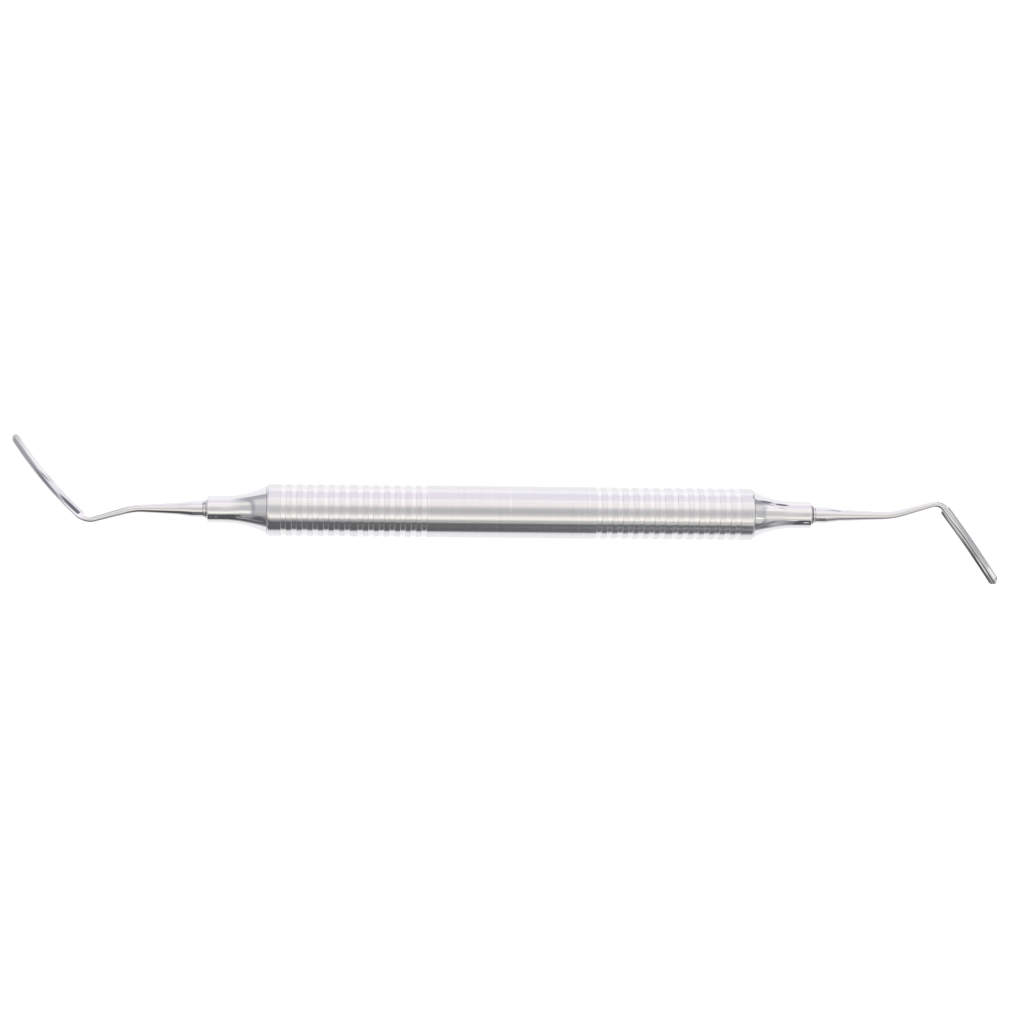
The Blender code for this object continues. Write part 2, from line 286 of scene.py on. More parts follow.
class Nodes:
    """The node tree of a material or of the world."""

    def __init__(self, owner):
        owner.use_nodes = True
        self.tree = owner.node_tree

    def node(self, kind, settings, sockets, output=0):
        """Adds a node and gives one of its outputs, or the node itself where it has none."""
        node = self.tree.nodes.new(kind)
        for name, value in settings.items():
            if name == "stops":
                self.set_stops(node.color_ramp, value)
            else:
                setattr(node, name, value)
        for name, value in sockets.items():
            self.join(value, node.inputs[name])
        return Wire(self, node.outputs[output]) if node.outputs else node

    def ramp(self, share, stops):
        """Tones along a full turn, share being 0 at its start and 1 at its end."""
        placed = [(angle / 360 + 0.5, colour) for angle, colour in stops]
        return self.node("ShaderNodeValToRGB", {"stops": placed}, {"Fac": share})

    def blend(self, share, first, second):
        sockets = {"Factor": share, 6: first, 7: second}
        return self.node("ShaderNodeMix", {"data_type": "RGBA"}, sockets, output=2)

    def join(self, value, socket):
        if isinstance(value, Wire):
            self.tree.links.new(value.socket, socket)
        else:
            socket.default_value = value

    @staticmethod
    def set_stops(ramp, stops):
        while len(ramp.elements) < len(stops):
            ramp.elements.new(1.0)
        for element, (position, colour) in zip(ramp.elements, stops):
            element.position = position
            element.color = (*colour, 1.0)


def oval_distance(first, second):
    """1 on an oval's edge, less inside and more outside."""
    return first.math("SQRT", first * first + second * second)


def square_distance(first, second):
    """1 on the edge of a rectangle, less inside and more outside."""
    return first.math("MAXIMUM", first.size(), second.size())


def steel_finish(name, marks, stretch=0.0):
    """Bare steel. marks makes its base colour and roughness, and stretch is its anisotropy."""
    material = bpy.data.materials.new(name)
    nodes = Nodes(material)
    shader = nodes.tree.nodes["Principled BSDF"]
    shader.inputs["Metallic"].default_value = 1.0
    shader.inputs["Anisotropic"].default_value = stretch
    shader.inputs["Anisotropic Rotation"].default_value = STRETCH_TURN
    for socket, value in marks(nodes).items():
        nodes.join(value, shader.inputs[socket])
    return material


def turning_marks(nodes):
    """Fine rings left by the lathe: thin lines round the axis, each fading in and out on its way round."""
    place = nodes.node("ShaderNodeTexCoord", {}, {}, output="Object")
    along = nodes.node("ShaderNodeMapping", {}, {"Vector": place, "Scale": LINE_SCALE})
    sockets = {"Vector": along, "Scale": 1.0, "Detail": 3.0, "Roughness": 0.7}
    lines = nodes.node("ShaderNodeTexNoise", {}, sockets)
    walls = [(HANDLE_RADIUS - share * GROOVE_DEPTH) * MM for share in GROOVE_WALL]
    groove = oval_distance(place.part(0), place.part(1)).step(*walls)
    colour = nodes.blend(lines.step(*LIGHT_LINES), SATIN_TONE, LIGHT_LINE_TONE)
    colour = nodes.blend(lines.step(*DARK_LINES), colour, DARK_LINE_TONE)
    colour = nodes.blend(groove * GROOVE_SHARE, colour, GROOVE_TONE)
    sockets = {"Height": lines, "Strength": LINE_STRENGTH, "Distance": LINE_DEPTH * MM}
    bump = nodes.node("ShaderNodeBump", {}, sockets)
    return {"Base Color": colour, "Normal": bump, "Roughness": SATIN_ROUGHNESS + lines * SATIN_UNEVENNESS}


def grinding_marks_and_joint_shade(nodes, joint_shade):
    """Uneven polish, and painted shade at the joint where the collar ends, with a fainter ring of painted
    shade beyond it.
    """
    place = nodes.node("ShaderNodeTexCoord", {}, {}, output="Object")
    grain = nodes.node("ShaderNodeTexNoise", {}, {"Vector": place, "Scale": GROUND_GRAIN, "Detail": 2.0})
    along = place.part(0)
    # painted shade: the steel's colour is darkened next to the collar's face
    joint = along.step(JOINT_LENGTH * MM, JOINT_LENGTH * JOINT_SHARPNESS * MM)
    # painted shade: a fainter dark ring a little further along the shank
    ring = (along - RING_PLACE * MM).size().step(RING_WIDTH * MM, 0.0)
    colour = nodes.blend(joint * joint_shade, GROUND_TONE, JOINT_PAINTED_SHADE_TONE)
    colour = nodes.blend(ring * RING_SHADE, colour, RING_PAINTED_SHADE_TONE)
    return {"Base Color": colour, "Roughness": GROUND_ROUGHNESS + grain * GROUND_UNEVENNESS}


def polish_and_seam_shade(nodes):
    """A bright polish with painted shade in the seam against the handle."""
    place = nodes.node("ShaderNodeTexCoord", {}, {}, output="Object")
    grain = nodes.node("ShaderNodeTexNoise", {}, {"Vector": place, "Scale": POLISHED_GRAIN, "Detail": 2.0})
    # painted shade: the polish is darkened where it meets the handle
    seam = place.part(2).step(SEAM_WIDTH * MM, SEAM_WIDTH * JOINT_SHARPNESS * MM)
    colour = nodes.blend(seam, POLISHED_TONE, SEAM_PAINTED_SHADE_TONE)
    return {"Base Color": colour, "Roughness": POLISHED_ROUGHNESS + grain * POLISHED_UNEVENNESS}


def mix(first, second, share):
    """The value that lies at a share of the way from the first to the second."""
    return first + (second - first) * share


def smooth(share):
    """Rises smoothly from 0 to 1 while share does, and stays there."""
    share = min(max(share, 0.0), 1.0)
    return share * share * (3 - 2 * share)


def add_piece(name, rings, closed, material, node):
    """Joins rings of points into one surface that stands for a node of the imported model. The last ring joins
    the first where it is closed, and otherwise both get a cap."""
    count = len(rings[0])
    vertices = [Vector(point) * MM for ring in rings for point in ring]
    faces = []
    last = len(rings) if closed else len(rings) - 1
    for ring in range(last):
        here = ring * count
        there = (ring + 1) % len(rings) * count
        for index in range(count):
            beside = (index + 1) % count
            faces.append((here + index, there + index, there + beside, here + beside))
    if not closed:
        faces.append(tuple(range(count)))
        faces.append(tuple(reversed(range(len(vertices) - count, len(vertices)))))
    mesh = bpy.data.meshes.new(name)
    mesh.from_pydata(vertices, [], faces)
    mesh.shade_smooth()
    mesh.set_sharp_from_angle(angle=SHARP_ANGLE)
    mesh.materials.append(material)
    piece = bpy.data.objects.new(name, mesh)
    bpy.context.scene.collection.objects.link(piece)
    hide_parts(node)
    return piece


def turned_rings(profile):
    """Rings about Z for a profile of (radius, height) points."""
    turns = [math.tau * step / TURNED_STEPS for step in range(TURNED_STEPS)]
    rings = []
    for radius, height in profile:
        rings.append([(radius * math.cos(turn), radius * math.sin(turn), height) for turn in turns])
    return rings


def lay_down(piece, side, distance):
    """Turns a piece that is built about Z until its Z points along the handle, to the side that it is on."""
    piece.rotation_euler = (0.0, side * math.pi / 2, 0.0)
    piece.location = (side * distance * MM, 0.0, AXIS_HEIGHT * MM)
    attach(piece, "root")


def rounded(corner, before, after, radius):
    """Points of the arc that rounds a corner of an outline, or the corner itself where the radius is tiny."""
    if radius < SHORTEST_EDGE:
        return [corner] * (CORNER_STEPS + 1)
    corner = Vector(corner)
    into = (Vector(before) - corner).normalized()
    out = (Vector(after) - corner).normalized()
    half = into.angle(out) / 2
    reach = radius / math.tan(half)
    centre = corner + (into + out).normalized() * (radius / math.sin(half))
    start = corner + into * reach - centre
    end = corner + out * reach - centre
    points = []
    for step in range(CORNER_STEPS + 1):
        spoke = start.slerp(end, step / CORNER_STEPS)
        points.append(tuple(centre + spoke * radius))
    return points


def groove_starts():
    """Distances of one grip's grooves from the end of the handle."""
    starts = []
    for group in range(GROUPS_IN_GRIP):
        first = GRIP_END_LAND + group * (GROUP_LENGTH + GROUP_LAND)
        starts += [first + index * GROOVE_PITCH for index in range(GROOVES_IN_GROUP)]
    return starts


def handle_profile():
    """The tube's wall, with the eased end and the grip written once and mirrored to the other end."""
    half = [(HANDLE_BORE / 2, 0.0)]
    for step in range(EASE_STEPS + 1):
        turn = 0.5 * math.pi * step / EASE_STEPS
        radius = HANDLE_RADIUS - HANDLE_EASE_HEIGHT * (1 - math.sin(turn))
        half.append((radius, HANDLE_EASE_LENGTH * (1 - math.cos(turn))))
    half.append((HANDLE_RADIUS, HANDLE_EASE_LENGTH + FILLET_SUPPORT))
    floor = HANDLE_RADIUS - GROOVE_DEPTH
    apart = GROOVE_FILLET + FILLET_SUPPORT
    for start in groove_starts():
        end = start + GROOVE_WIDTH
        half.append((HANDLE_RADIUS, start - apart))
        half += rounded((HANDLE_RADIUS, start), half[-1], (floor, start), GROOVE_FILLET)
        half += rounded((floor, start), (HANDLE_RADIUS, start), (floor, end), GROOVE_FILLET)
        half += [(floor, start + apart), (floor, end - apart)]
        half += rounded((floor, end), half[-1], (HANDLE_RADIUS, end), GROOVE_FILLET)
        half += rounded((HANDLE_RADIUS, end), (floor, end), (HANDLE_RADIUS, end + apart), GROOVE_FILLET)
        half.append((HANDLE_RADIUS, end + apart))
    top = HANDLE_LENGTH / 2
    upper = [(radius, top - distance) for radius, distance in half]
    lower = [(radius, distance - top) for radius, distance in reversed(half)]
    return upper + lower


def ferrule_profile():
    """Socket, collar, cone and spigot. The collar narrows a little towards its end, and the cone runs into it
    without a break."""
    face = FERRULE_REACH
    end = COLLAR_DIAMETER / 2 - COLLAR_DRAW
    edge = end - COLLAR_DROP
    points = [(SOCKET_RADIUS, face - SOCKET_DEPTH), (SOCKET_RADIUS, face)]
    points += rounded((edge, face), (SOCKET_RADIUS, face), (edge, face - COLLAR_LENGTH), COLLAR_ROUNDING)
    straight = COLLAR_ROUNDING + FILLET_SUPPORT
    sweep_end = COLLAR_LENGTH + FLARE_RADIUS * math.sin(COLLAR_LEAN)
    sweep_radius = COLLAR_DIAMETER / 2 + FLARE_RADIUS * (1 - math.cos(COLLAR_LEAN))
    for step in range(COLLAR_STEPS):
        share = step / COLLAR_STEPS
        sweep = max(share - COLLAR_SWEEP_START, 0.0) / (1 - COLLAR_SWEEP_START)
        drop = max(COLLAR_DROP_END - share, 0.0) / COLLAR_DROP_END
        radius = mix(end, sweep_radius, sweep**2) - COLLAR_DROP * drop**2
        points.append((radius, face - mix(straight, sweep_end, share)))
    whole_turn = math.asin(FLARE_LENGTH / FLARE_RADIUS)
    for step in range(FLARE_STEPS + 1):
        turn = mix(COLLAR_LEAN, whole_turn, step / FLARE_STEPS)
        radius = COLLAR_DIAMETER / 2 + FLARE_RADIUS * (1 - math.cos(turn))
        points.append((radius, face - COLLAR_LENGTH - FLARE_RADIUS * math.sin(turn)))
    points += [
        (SPIGOT_RADIUS, SEAT_CLEARANCE),
        (SPIGOT_RADIUS, SPIGOT_CHAMFER - SPIGOT_LENGTH),
        (SPIGOT_RADIUS - SPIGOT_CHAMFER, -SPIGOT_LENGTH),
    ]
    return points


def blade_outline(half_width, thickness, edge, foot, crest, crown, sharpness):
    """Half the hollow face, the rounded edge, the crowned back and the spine, and the same again on the other
    side. foot is the spine's half width, crest its height, and crown the back's slope."""
    face = -BLADE_SETBACK
    back = face + thickness
    bevel = max(half_width - BLADE_BEVEL, foot)
    side = []
    for step in range(HOLLOW_STEPS):
        across = step / HOLLOW_STEPS
        side.append((half_width * across, face + BLADE_HOLLOW * (1 - across**2)))
    lift = (bevel - foot) * crown
    spine = back + lift
    top = crest + lift * CREST_LIFT
    corners = [side[-1], (half_width, face), (half_width, face + edge), (bevel, back), (foot, spine)]
    roundings = [RIM_ROUNDING, EDGE_ROUNDING, BACK_ROUNDING]
    for index, rounding in enumerate(roundings, 1):
        before, corner, after = corners[index - 1 : index + 2]
        shortest = min(math.dist(corner, before), math.dist(corner, after))
        side += rounded(corner, before, after, min(rounding, shortest * ROUNDING_SHARE))
    across, height = side[-1]
    side.append((mix(foot, across, SPINE_SUPPORT), mix(spine, height, SPINE_SUPPORT)))
    for step in range(SPINE_STEPS):
        turn = 0.5 * math.pi * step / SPINE_STEPS
        rise = math.sin(turn) ** sharpness
        side.append((foot * math.cos(turn) ** sharpness, mix(spine, top, rise)))
    other = [(-across, height) for across, height in reversed(side[1:])]
    return side + [(0.0, top)] + other


def blade_section(distance, length):
    """The blade's outline at a distance from its start, which turns from the heel's form into its own."""
    along = distance / length
    tip = max((distance - length + TIP_LENGTH) / TIP_LENGTH, 0.0)
    width = mix(BLADE_WIDTH, BLADE_TIP_WIDTH, along) / 2 * math.sqrt(1 - tip**2)
    thickness = mix(BLADE_THICKNESS, BLADE_TIP_THICKNESS, along)
    edge = mix(BLADE_EDGE, BLADE_TIP_EDGE, along)
    fade = smooth(distance / SPINE_FADE)
    foot = min(mix(HEEL_DIAMETER / 2, SPINE_HALF_WIDTH, fade), width * 0.5)
    crest = mix(HEEL_DIAMETER / 2, thickness - BLADE_SETBACK + SPINE_HEIGHT, fade)
    crown = mix(HEEL_CROWN, TIP_CROWN, along)
    return blade_outline(width, thickness, edge, foot, crest, crown, mix(1.0, SPINE_SHARPNESS, fade))


OUTLINE_POINTS = len(blade_section(0.0, RIGHT_END["blade_length"]))


def round_outline(radius):
    """A shank's outline, with as many points as a blade's."""
    turns = [math.tau * index / OUTLINE_POINTS for index in range(OUTLINE_POINTS)]
    return [(radius * math.sin(turn), -radius * math.cos(turn)) for turn in turns]


def straight_stations():
    """Distances and radii of the tang, shoulder and root."""
    tang = TANG_DIAMETER / 2
    root = ROOT_DIAMETER / 2
    shoulder = SHOULDER_DIAMETER / 2
    return [
        (-TANG_LENGTH, tang - TANG_CHAMFER),
        (TANG_CHAMFER - TANG_LENGTH, tang),
        (SEAT_CLEARANCE, tang),
        (SEAT_CLEARANCE, shoulder),
        (SHOULDER_LENGTH, shoulder),
        (SHOULDER_LENGTH + SHOULDER_RUNOUT, root),
        (SHOULDER_LENGTH + SHOULDER_RUNOUT + ROOT_SUPPORT, root),
        (ROOT_LENGTH - ROOT_SUPPORT, root),
        (ROOT_LENGTH, root),
        (ROOT_LENGTH + NECK_RUN, NECK_DIAMETER / 2),
    ]


def bend_stations(vertex, before, after, reach, steps):
    """Points and directions round one bend of a shank's centre line."""
    angle = before.angle(after)
    radius = reach / math.tan(angle / 2)
    normal = before.cross(after).normalized()
    inward = normal.cross(before)
    start = vertex - before * reach
    stations = []
    for step in range(steps + 1):
        turn = angle * step / steps
        point = start + before * (radius * math.sin(turn)) + inward * (radius * (1 - math.cos(turn)))
        stations.append((point, Matrix.Rotation(turn, 3, normal) @ before))
    return stations


def opening_outline(missing, inner_side, length):
    """Outline of the heel, missing being the distance that is left to the blade's full width."""
    inner = max(1 - missing / INNER_SHOULDER_RUN, 0.0)
    outer = max(1 - missing / OUTER_SHOULDER_RUN, 0.0)
    outline = []
    for shank, blade in zip(round_outline(HEEL_DIAMETER / 2), blade_section(0.0, length)):
        opened = mix(outer, inner, 0.5 + inner_side * blade[0] / BLADE_WIDTH)
        outline.append((mix(shank[0], blade[0], opened), mix(shank[1], blade[1], opened)))
    return outline


def blade_stations(start, direction, back, inner_side, length):
    """Points, directions, facings and outlines along the curved blade."""
    body = length - TIP_LENGTH
    distances = [0.0, BLADE_LEAD / 3, BLADE_LEAD * 2 / 3]
    distances += [mix(BLADE_LEAD, body, step / BLADE_STEPS) for step in range(BLADE_STEPS + 1)]
    last = math.acos(TIP_FLAT / BLADE_TIP_WIDTH)
    distances += [body + TIP_LENGTH * math.sin(last * (step + 1) / TIP_STEPS) for step in range(TIP_STEPS)]
    stations = []
    for distance in distances:
        turn = distance / BLADE_CURVE_RADIUS
        point = start + (direction * math.sin(turn) - back * (1 - math.cos(turn))) * BLADE_CURVE_RADIUS
        ahead = direction * math.cos(turn) - back * math.sin(turn)
        facing = back * math.cos(turn) + direction * math.sin(turn)
        if distance < BLADE_LEAD:
            outline = opening_outline(BLADE_LEAD - distance, inner_side, length)
        else:
            outline = blade_section(distance, length)
        stations.append((point, ahead, facing, outline))
    return stations


def working_end_rings(shank_reach, heel_reach, blade_length, heading, dip, roll):
    """Rings of a whole working end, from the end of its tang to the tip of its blade."""
    out = Vector((1.0, 0.0, 0.0))
    up = Vector((0.0, 0.0, 1.0))
    neck_end = ROOT_LENGTH + NECK_RUN
    bent = Vector((math.cos(SHANK_BEND), math.sin(SHANK_BEND), 0.0))
    level = math.cos(dip)
    blade = Vector((level * math.cos(heading), level * math.sin(heading), -math.sin(dip)))
    side = up.cross(blade).normalized()
    back = Matrix.Rotation(-roll, 3, blade) @ blade.cross(side)
    knee = out * shank_reach
    heel = knee + bent * heel_reach
    first = bend_stations(knee, out, bent, SHANK_BEND_REACH, SHANK_BEND_STEPS)
    second = bend_stations(heel, bent, blade, HEEL_BEND_REACH, HEEL_BEND_STEPS)
    blade_run = blade_length - HEEL_BEND_REACH
    heel_turn = bent.angle(blade)
    heel_arc = HEEL_BEND_REACH / math.tan(heel_turn / 2) * heel_turn
    inward = bent.cross(blade).cross(blade)
    inner_side = math.copysign(1.0, blade.cross(back).dot(inward))
    stations = blade_stations(second[-1][0], blade, back, inner_side, blade_run)
    centre_line = [(out * distance, out, round_outline(radius)) for distance, radius in straight_stations()]
    bend_start = first[0][0].x
    taper = [mix(neck_end, bend_start, step / TAPER_STEPS) for step in range(1, TAPER_STEPS)]
    for point, direction in [(out * distance, out) for distance in taper] + first:
        left = 1 - min((point.x - neck_end) / (shank_reach - neck_end), 1.0)
        radius = mix(WAIST_DIAMETER / 2, NECK_DIAMETER / 2, left**TAPER_POWER)
        centre_line.append((point, direction, round_outline(radius)))
    for point, direction in second[:-1]:
        missing = BLADE_LEAD + direction.angle(blade) / heel_turn * heel_arc
        centre_line.append((point, direction, opening_outline(missing, inner_side, blade_run)))
    carried = back
    ahead = blade
    for point, direction, outline in reversed(centre_line):
        carried = ahead.rotation_difference(direction) @ carried
        ahead = direction
        stations.insert(0, (point, direction, carried, outline))
    rings = []
    for point, direction, facing, outline in stations:
        across = direction.cross(facing)
        rings.append([point + across * sideways + facing * upwards for sideways, upwards in outline])
    return rings


def add_floor(name, material):
    mesh = bpy.data.meshes.new(name)
    signs = [(-1, -1), (1, -1), (1, 1), (-1, 1)]
    corners = [Vector((x * FLOOR_REACH, y * FLOOR_REACH, -FLOOR_DROP)) * MM for x, y in signs]
    mesh.from_pydata(corners, [], [(0, 1, 2, 3)])
    mesh.materials.append(material)
    floor = bpy.data.objects.new(name, mesh)
    bpy.context.scene.collection.objects.link(floor)


def tent_floor():
    """White cloth that glows to the camera, so that only the shade close to the instrument shows. The steel
    looks through it, at the tent's own floor."""
    material = bpy.data.materials.new("tent_floor")
    nodes = Nodes(material)
    nodes.tree.nodes.remove(nodes.tree.nodes["Principled BSDF"])
    seen = nodes.node("ShaderNodeLightPath", {}, {}, output="Is Camera Ray")
    mirrored = nodes.node("ShaderNodeLightPath", {}, {}, output="Is Glossy Ray")
    cloth = nodes.node("ShaderNodeBsdfDiffuse", {}, {"Color": CLOTH_TONE})
    glow = nodes.node("ShaderNodeEmission", {}, {"Strength": seen * FLOOR_GLOW})
    both = nodes.node("ShaderNodeAddShader", {}, {0: cloth, 1: glow})
    clear = nodes.node("ShaderNodeBsdfTransparent", {}, {})
    surface = nodes.node("ShaderNodeMixShader", {}, {"Fac": mirrored, 1: both, 2: clear})
    nodes.join(surface, nodes.tree.nodes["Material Output"].inputs["Surface"])
    return material


# What the steel mirrors in each part of the tent. The angles run in degrees from straight down at the back
# (-180) over the top (0) to straight down at the front (180), and the tones are the light from there.
TENT_MIDDLE = [
    (-180, (1.1, 1.08, 1.11)),
    (-118, (1.09, 1.06, 1.1)),
    (-104, (1.02, 1.0, 1.04)),
    (-92, (0.95, 0.92, 0.98)),
    (-86, (0.86, 0.82, 0.9)),
    (-66, (0.86, 0.81, 0.89)),
    (-56, (0.88, 0.84, 0.91)),
    (-51, (1.03, 1.0, 1.01)),
    (-46, (0.95, 0.9, 0.9)),
    (-30, (0.95, 0.9, 0.89)),
    (-20, (0.8, 0.77, 0.78)),
    (-10, (0.68, 0.66, 0.67)),
    (2, (0.63, 0.62, 0.62)),
    (10, (0.68, 0.66, 0.65)),
    (18, (0.77, 0.74, 0.71)),
    (25, (0.99, 0.95, 0.9)),
    (33, (1.02, 0.98, 0.92)),
    (37, (0.72, 0.7, 0.67)),
    (42, (0.42, 0.41, 0.4)),
    (47, (0.52, 0.51, 0.51)),
    (51, (0.45, 0.44, 0.45)),
    (57, (0.26, 0.26, 0.27)),
    (64, (0.2, 0.2, 0.21)),
    (93, (0.2, 0.2, 0.21)),
    (97, (0.62, 0.61, 0.62)),
    (103, (0.76, 0.75, 0.76)),
    (110, (0.82, 0.81, 0.82)),
    (120, (0.9, 0.89, 0.91)),
    (142, (1.02, 1.01, 1.03)),
    (180, (1.08, 1.07, 1.09)),
]
TENT_LEFT = [
    (-180, (0.97, 0.97, 0.99)),
    (-112, (0.95, 0.94, 0.97)),
    (-100, (0.6, 0.6, 0.63)),
    (-88, (0.34, 0.34, 0.36)),
    (-72, (0.44, 0.44, 0.46)),
    (-58, (0.66, 0.65, 0.66)),
    (-50, (0.86, 0.85, 0.82)),
    (-38, (0.82, 0.81, 0.78)),
    (-27, (0.6, 0.58, 0.6)),
    (-8, (0.54, 0.53, 0.55)),
    (6, (0.58, 0.58, 0.57)),
    (13, (0.96, 0.95, 0.91)),
    (27, (0.98, 0.97, 0.93)),
    (32, (0.5, 0.5, 0.49)),
    (45, (0.38, 0.38, 0.37)),
    (60, (0.3, 0.3, 0.3)),
    (97, (0.26, 0.26, 0.27)),
    (105, (0.84, 0.84, 0.86)),
    (180, (0.96, 0.96, 0.97)),
]
TENT_RIGHT = [
    (-180, (0.99, 0.98, 1.02)),
    (-107, (0.95, 0.93, 0.99)),
    (-95, (0.86, 0.84, 0.92)),
    (-62, (0.88, 0.85, 0.92)),
    (-54, (0.93, 0.88, 0.9)),
    (-38, (0.96, 0.93, 0.92)),
    (-33, (1.03, 1.01, 1.0)),
    (-27, (0.68, 0.67, 0.67)),
    (-8, (0.62, 0.61, 0.6)),
    (6, (0.62, 0.61, 0.59)),
    (14, (0.84, 0.82, 0.77)),
    (28, (0.84, 0.82, 0.77)),
    (34, (0.66, 0.65, 0.63)),
    (46, (0.6, 0.59, 0.58)),
    (55, (0.47, 0.46, 0.48)),
    (96, (0.47, 0.46, 0.48)),
    (106, (0.82, 0.81, 0.82)),
    (180, (0.97, 0.97, 0.98)),
]
TENT_END = [
    (-180, (0.96, 0.96, 0.98)),
    (-104, (0.9, 0.9, 0.92)),
    (-97, (0.4, 0.4, 0.43)),
    (-78, (0.48, 0.48, 0.5)),
    (-62, (0.72, 0.7, 0.71)),
    (-40, (0.73, 0.71, 0.71)),
    (-24, (0.54, 0.53, 0.55)),
    (0, (0.5, 0.49, 0.51)),
    (16, (0.53, 0.52, 0.52)),
    (32, (0.44, 0.43, 0.43)),
    (48, (0.36, 0.36, 0.36)),
    (62, (0.22, 0.22, 0.23)),
    (92, (0.15, 0.15, 0.16)),
    (104, (0.3, 0.3, 0.3)),
    (112, (0.88, 0.88, 0.9)),
    (180, (0.95, 0.95, 0.96)),
]

# Where the middle of the tent changes into its left and right sides, in degrees to the right
LEFT_CHANGE = (-5.0, -28.0)
RIGHT_CHANGE = (11.0, 32.0)

# The ceiling ends at a bent pole, an oval round the top
CEILING_MIDDLE = 6.0
CEILING_REACH = (112.0, 46.0)
POLE_WIDTH = 0.11
POLE_BACK = (-90.0, -60.0)
POLE_FRONT = (75.0, 50.0)
POLE_SHADE = 0.7
POLE_FADE = 0.3
POLE_FADE_END = 40.0
POLE_TONE = (0.3, 0.31, 0.36, 1.0)

# Cloths, cards and the open front, each over the ones before: its middle and its reach as angles over the top
# and to the right, how far it slants, how soft its edge is, its shape and its tone
OVAL = oval_distance
SQUARE = square_distance
TENT_CARDS = [
    ((-3.0, 3.5), (15.5, 5.2), 0.0, 0.8, OVAL, (0.44, 0.435, 0.45)),
    ((71.0, -30.0), (26.0, 30.0), 0.0, 0.06, SQUARE, (0.27, 0.27, 0.27)),
    ((83.0, -21.0), (13.5, 17.0), 0.0, 0.1, SQUARE, (0.11, 0.11, 0.12)),
    ((74.0, -43.0), (28.0, 8.0), 0.0, 0.4, OVAL, (0.12, 0.12, 0.13)),
    ((65.5, -31.5), (5.5, 7.0), 0.4, 0.3, OVAL, (0.12, 0.12, 0.13)),
    ((55.5, -28.5), (4.5, 5.0), 0.0, 0.3, SQUARE, (0.38, 0.38, 0.39)),
    ((51.5, -13.5), (8.5, 8.0), 0.0, 0.2, SQUARE, (0.12, 0.12, 0.125)),
    ((72.0, -24.0), (2.6, 8.5), 1.2, 0.4, OVAL, (0.5, 0.5, 0.5)),
    ((79.0, -34.0), (1.6, 9.0), 1.0, 0.5, OVAL, (0.4, 0.4, 0.4)),
    ((48.0, 14.5), (4.5, 6.5), 0.0, 0.3, SQUARE, (0.82, 0.81, 0.78)),
    ((51.5, 26.0), (2.5, 10.0), 0.0, 0.4, OVAL, (0.3, 0.3, 0.3)),
    ((60.0, 32.0), (9.0, 6.0), 0.2, 0.4, OVAL, (0.36, 0.36, 0.37)),
    ((78.0, 43.0), (26.0, 4.5), 0.33, 0.3, OVAL, (0.15, 0.15, 0.16)),
    ((80.0, 43.5), (22.0, 1.0), 0.33, 0.5, OVAL, (0.45, 0.45, 0.45)),
    ((-95.0, 37.5), (12.0, 7.0), 0.5, 0.35, OVAL, (0.22, 0.22, 0.25)),
    ((-92.0, 50.0), (16.0, 8.0), 0.0, 0.4, OVAL, (0.36, 0.36, 0.4)),
    ((-69.0, 31.0), (17.0, 2.4), -0.5, 0.6, OVAL, (0.4, 0.4, 0.44)),
    ((-89.0, 22.0), (10.0, 6.3), 0.0, 0.2, OVAL, (0.17, 0.17, 0.2)),
    ((-64.0, 36.0), (6.0, 10.0), 0.6, 0.5, OVAL, (1.0, 0.99, 0.99)),
    ((45.0, 58.0), (18.0, 8.0), 0.0, 0.3, SQUARE, (0.66, 0.65, 0.63)),
    ((-45.0, 70.0), (32.0, 7.0), 0.0, 0.3, SQUARE, (0.44, 0.43, 0.45)),
    ((18.0, 70.0), (18.0, 7.0), 0.0, 0.3, SQUARE, (0.74, 0.73, 0.7)),
    ((77.0, 3.3), (24.0, 5.3), 0.0, 0.06, SQUARE, (0.115, 0.115, 0.12)),
    ((77.0, 6.3), (24.0, 2.3), 0.0, 0.15, SQUARE, (0.165, 0.165, 0.17)),
    ((72.0, -8.6), (23.5, 6.4), 0.0, 0.03, SQUARE, (0.09, 0.09, 0.1)),
    ((72.0, 9.9), (23.5, 1.4), 0.02, 0.03, SQUARE, (0.09, 0.09, 0.1)),
    ((71.5, 9.15), (5.0, 0.6), 0.0, 0.15, OVAL, (1.1, 1.1, 1.1)),
    ((71.5, -3.05), (4.0, 0.2), 0.0, 0.3, OVAL, (0.4, 0.4, 0.4)),
    ((28.0, 59.0), (6.0, 8.0), 0.0, 0.4, OVAL, (1.1, 1.08, 1.05)),
]


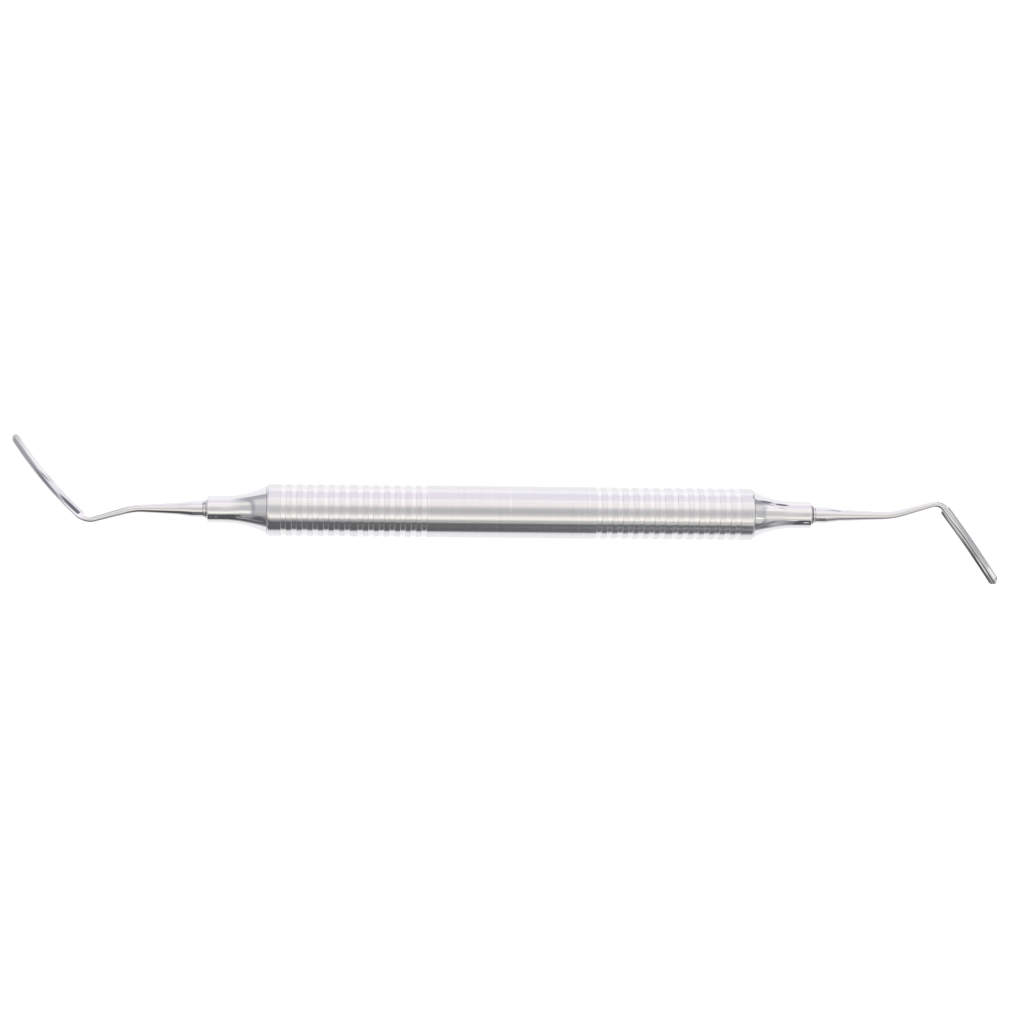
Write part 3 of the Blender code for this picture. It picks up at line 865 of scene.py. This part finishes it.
def light_tent():
    """A world that is plain white, but mirrored in steel as the inside of the tent."""
    world = bpy.data.worlds.new("light_tent")
    bpy.context.scene.world = world
    nodes = Nodes(world)
    nodes.tree.nodes.remove(nodes.tree.nodes["Background"])
    direction = nodes.node("ShaderNodeTexCoord", {}, {})
    side, back, up = [direction.part(axis) for axis in range(3)]
    around = up.math("ARCTAN2", 0 - back, up) * math.degrees(1.0)
    sideways = side.math("ARCSINE", side) * math.degrees(1.0)
    share = around / 360 + 0.5
    parts = (TENT_MIDDLE, TENT_LEFT, TENT_RIGHT, TENT_END)
    middle, left, right, end = [nodes.ramp(share, stops) for stops in parts]
    tent = nodes.blend(sideways.step(*LEFT_CHANGE), middle, left)
    tent = nodes.blend(sideways.step(*RIGHT_CHANGE), tent, right)
    past = oval_distance(around / CEILING_REACH[0], (sideways - CEILING_MIDDLE) / CEILING_REACH[1]) - 1
    tent = nodes.blend(past.step(-POLE_WIDTH, POLE_WIDTH), tent, end)
    pole = past.size().step(POLE_WIDTH, 0.0) * around.step(*POLE_BACK) * around.step(*POLE_FRONT)
    shade = POLE_SHADE - sideways.step(0.0, POLE_FADE_END) * POLE_FADE
    tent = nodes.blend(pole * shade, tent, POLE_TONE)
    for centre, reach, slant, softness, shape, tone in TENT_CARDS:
        turned = around - centre[0]
        apart = shape(turned / reach[0], (sideways - centre[1] - turned * slant) / reach[1])
        tent = nodes.blend(apart.step(1 + softness, 1 - softness), tent, (*tone, 1.0))
    mirrored = nodes.node("ShaderNodeLightPath", {}, {}, output="Is Glossy Ray")
    white = nodes.node("ShaderNodeBackground", {}, {"Color": (1.0, 1.0, 1.0, 1.0)})
    inside = nodes.node("ShaderNodeBackground", {}, {"Color": tent})
    both = nodes.node("ShaderNodeMixShader", {}, {"Fac": mirrored, 1: white, 2: inside})
    nodes.join(both, nodes.tree.nodes["World Output"].inputs["Surface"])


def add_camera():
    """A camera over the instrument, turned about its own axis until the handle lies as in the photo."""
    aim = Vector((CAMERA_AIM[0], CAMERA_AIM[1], AXIS_HEIGHT))
    place = Vector((CAMERA_FOOT, 0.0, AXIS_HEIGHT + CAMERA_HEIGHT))
    ahead = (aim - place).normalized()
    right = ahead.cross(Vector((0.0, 1.0, 0.0))).normalized()
    up = right.cross(ahead)
    rolled_right = right * math.cos(CAMERA_ROLL) + up * math.sin(CAMERA_ROLL)
    rolled_up = up * math.cos(CAMERA_ROLL) - right * math.sin(CAMERA_ROLL)
    turn = Matrix((rolled_right, rolled_up, -ahead)).transposed()
    data = bpy.data.cameras.new("camera")
    data.sensor_width = SENSOR_WIDTH
    data.lens = (aim - place).length / PIXEL_SIZE * SENSOR_WIDTH / PICTURE_SIZE
    data.clip_start = CLIP_START * MM
    camera = bpy.data.objects.new("camera", data)
    camera.matrix_world = Matrix.Translation(place * MM) @ turn.to_4x4()
    bpy.context.scene.collection.objects.link(camera)
    bpy.context.scene.camera = camera


satin = steel_finish("satin_steel", turning_marks, SATIN_STRETCH)
# the polished steel carries painted shade in its seam against the handle
polished = steel_finish("polished_steel", polish_and_seam_shade)

rings = turned_rings(handle_profile())
tube = add_piece("ringed_tube", rings, True, satin, "handle_tube")
lay_down(tube, 1, 0.0)
for name, side, turn, shape in (("right", 1, 0.0, RIGHT_END), ("left", -1, math.pi, LEFT_END)):
    rings = turned_rings(ferrule_profile())
    node = name + "_ferrule"
    ferrule = add_piece(name + "_cone", rings, False, polished, node)
    lay_down(ferrule, side, HANDLE_LENGTH / 2)
    # each side's ground steel carries painted shade at its joint
    marks = partial(grinding_marks_and_joint_shade, joint_shade=JOINT_SHADE[name])
    ground = steel_finish(name + "_ground_steel", marks)
    rings = working_end_rings(**shape)
    node = name + "_working_end"
    blade = add_piece(name + "_blade", rings, False, ground, node)
    blade.location = (side * COLLAR_FACE * MM, 0.0, AXIS_HEIGHT * MM)
    blade.rotation_euler = (0.0, 0.0, turn)
    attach(blade, "root")

add_floor("tent_ground", tent_floor())
light_tent()
add_camera()
bpy.context.scene.view_settings.view_transform = "Standard"
